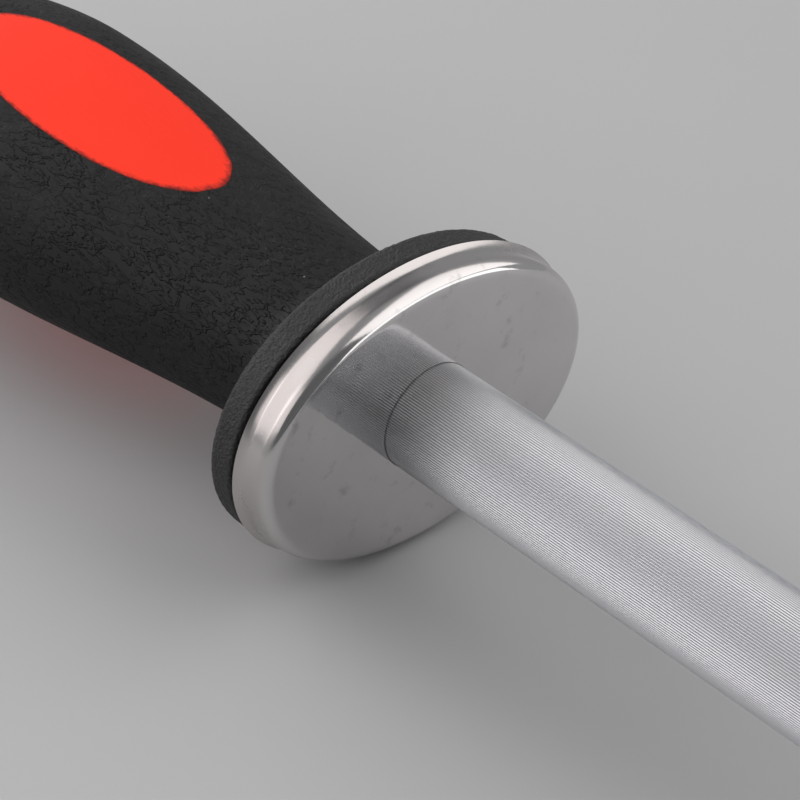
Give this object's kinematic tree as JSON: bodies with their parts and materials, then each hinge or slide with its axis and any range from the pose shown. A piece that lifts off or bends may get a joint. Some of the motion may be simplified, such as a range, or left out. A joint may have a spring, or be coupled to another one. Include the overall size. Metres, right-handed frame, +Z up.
{
  "type": "knife sharpening steel",
  "caption": "Round ridged sharpening steel with an oval metal guard cap, a black moulded grip with red inlays, and a wire hang ring at the butt.",
  "frame": {"origin": "middle of the underside of the bounding box, with the rod level: the lowest point is the guard's lower edge", "axes": "+X along the rod towards its tip, +Y across the wider way of the oval guard, +Z up, out of the handle's upper broad face and its inlay"},
  "size_m": [0.4612, 0.049, 0.0362],
  "materials": {
    "rod_steel": "satin, drawn with fine ridges along its length",
    "guard_steel": "stamped stainless sheet, polished",
    "black_grip": "moulded with a fine leather grain, matt",
    "red_core": "moulded with a fine leather grain, slightly shiny",
    "ring_wire": "nickel plated round wire"
  },
  "bodies": {
    "steel": {"sharpening_rod": "rod_steel", "guard_cap": "guard_steel", "grip_shell": "black_grip", "handle_core": "red_core"},
    "ring": {"hang_ring": "ring_wire"}
  },
  "joints": [
    {"name": "ring_swing", "type": "hinge", "parent": "steel", "child": "ring", "pos_m": [-0.19791, 0, 0.0181], "axis": [0, 0, 1], "range_deg": [-90, 90]}
  ]
}
